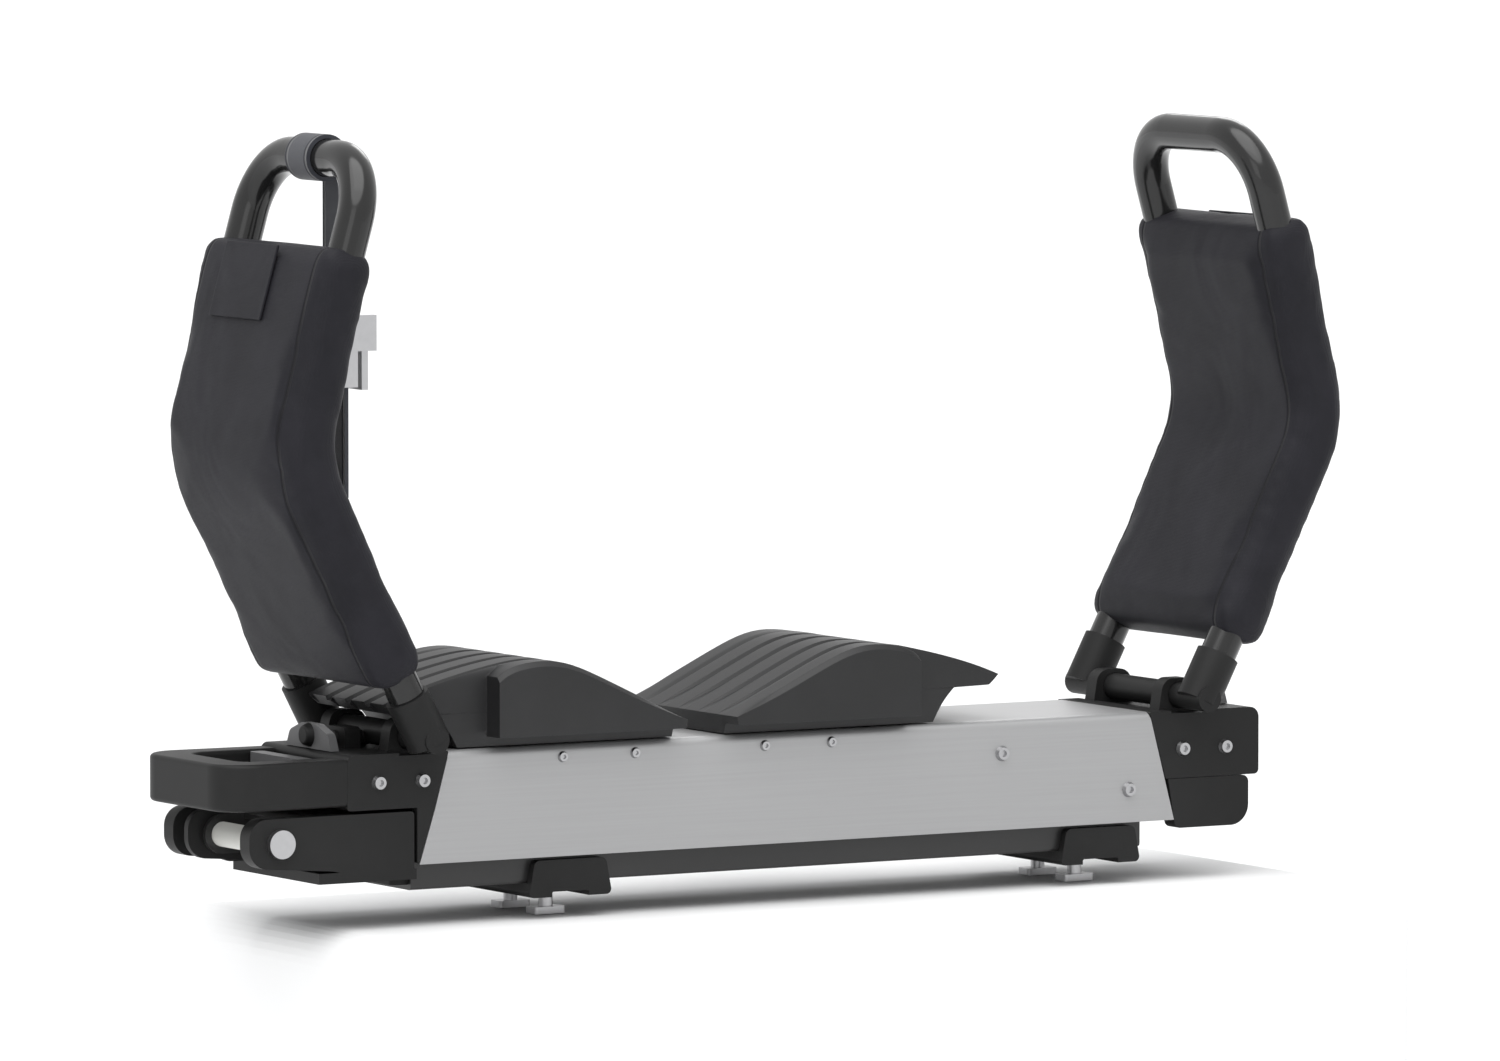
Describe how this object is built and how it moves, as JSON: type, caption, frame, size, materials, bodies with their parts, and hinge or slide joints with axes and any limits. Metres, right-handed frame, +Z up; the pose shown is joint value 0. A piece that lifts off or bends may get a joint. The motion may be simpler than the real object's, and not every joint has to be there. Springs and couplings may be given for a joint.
{
  "type": "kayak roof carrier",
  "caption": "Tilting kayak saddle carrier on swing arms that clamps to a roof crossbar, with padded uprights and ribbed saddle pads",
  "frame": {"origin": "on the crossbar's top face, midway between the two clamp feet, on the unit's mid-plane", "axes": "+X along the crossbar toward the vehicle's middle, +Y toward the vehicle's other end, +Z up"},
  "size_m": [0.7335, 0.146, 0.4417],
  "materials": {
    "aluminium_satin": "satin",
    "black_plastic": "matt",
    "black_metal": "satin",
    "hoop_black": "gloss",
    "bright_steel": "satin",
    "rod_chrome": "gloss",
    "grey_plastic": "matt",
    "bush_plastic": "matt",
    "saddle_rubber": "matt",
    "cover_fabric": "matt",
    "strap_webbing": "matt"
  },
  "bodies": {
    "base": {"base_rail": "black_metal", "near_clamp_foot": "black_plastic", "far_clamp_foot": "black_plastic", "near_front_track_bolt": "bright_steel", "near_front_track_nut": "bright_steel", "near_rear_track_bolt": "bright_steel", "near_rear_track_nut": "bright_steel", "far_front_track_bolt": "bright_steel", "far_front_track_nut": "bright_steel", "far_rear_track_bolt": "bright_steel", "far_rear_track_nut": "bright_steel", "base_pivot_casting": "black_plastic", "base_arm_pin": "bright_steel", "base_link_pin": "bright_steel"},
    "arm": {"swing_arm": "black_metal", "base_arm_bush": "bush_plastic", "cradle_arm_bush": "bush_plastic", "strut_base_pin": "bright_steel", "strut_far_pin": "bright_steel", "gas_strut_cylinder": "black_metal", "gas_strut_rod": "rod_chrome"},
    "link": {"levelling_link": "black_metal"},
    "cradle": {"housing": "aluminium_satin", "near_end_block": "black_plastic", "far_end_block": "black_plastic", "cradle_pivot_casting": "black_plastic", "cradle_arm_pin": "bright_steel", "cradle_link_pin": "bright_steel", "grip": "black_plastic", "near_saddle": "saddle_rubber", "far_saddle": "saddle_rubber", "lever_spring_1": "bright_steel", "lever_spring_2": "bright_steel"},
    "lever": {"release_lever": "grey_plastic"},
    "near_upright": {"near_hoop": "hoop_black", "near_padded_cover": "cover_fabric", "near_upright_foot": "black_plastic", "load_strap": "strap_webbing", "cam_buckle": "bright_steel", "cam_pin": "bright_steel"},
    "far_upright": {"far_hoop": "hoop_black", "far_padded_cover": "cover_fabric", "far_upright_foot": "black_plastic"},
    "near_tab": {"near_index_tab": "grey_plastic", "near_index_plunger": "black_metal"},
    "far_tab": {"far_index_tab": "grey_plastic", "far_index_plunger": "black_metal"},
    "cam": {"cam_lever": "bright_steel"}
  },
  "joints": [
    {"name": "arm_swing", "type": "hinge", "parent": "base", "child": "arm", "pos_m": [-0.363, 0, 0.039], "axis": [0, -1, 0], "range_deg": [0, 215]},
    {"name": "cradle_level", "type": "hinge", "parent": "arm", "child": "cradle", "pos_m": [0.258, 0, 0.039], "axis": [0, -1, 0], "range_deg": [-215, 0]},
    {"name": "link_swing", "type": "hinge", "parent": "base", "child": "link", "pos_m": [-0.351, 0, 0.029], "axis": [0, -1, 0], "range_deg": [0, 215]},
    {"name": "lever_pull", "type": "slide", "parent": "cradle", "child": "lever", "axis": [-1, 0, 0], "range_m": [0, 0.008], "stiffness_N_per_m": 900, "springref_m": -0.004},
    {"name": "near_upright_tilt", "type": "hinge", "parent": "cradle", "child": "near_upright", "pos_m": [-0.275, 0, 0.094], "axis": [0, -1, 0], "range_deg": [-20, 15]},
    {"name": "far_upright_tilt", "type": "hinge", "parent": "cradle", "child": "far_upright", "pos_m": [0.235, 0, 0.094], "axis": [0, 1, 0], "range_deg": [-20, 15]},
    {"name": "near_tab_pull", "type": "slide", "parent": "cradle", "child": "near_tab", "axis": [-1, 0, 0], "range_m": [0, 0.006], "stiffness_N_per_m": 700, "springref_m": -0.004},
    {"name": "far_tab_pull", "type": "slide", "parent": "cradle", "child": "far_tab", "axis": [1, 0, 0], "range_m": [0, 0.006], "stiffness_N_per_m": 700, "springref_m": -0.004},
    {"name": "cam_open", "type": "hinge", "parent": "near_upright", "child": "cam", "pos_m": [-0.28866, 0, 0.3205], "axis": [0, -1, 0], "range_deg": [0, 100]}
  ],
  "couplings": [
    {"joint": "cradle_level", "follows": "arm_swing", "ratio": -1},
    {"joint": "link_swing", "follows": "arm_swing", "ratio": 1}
  ]
}
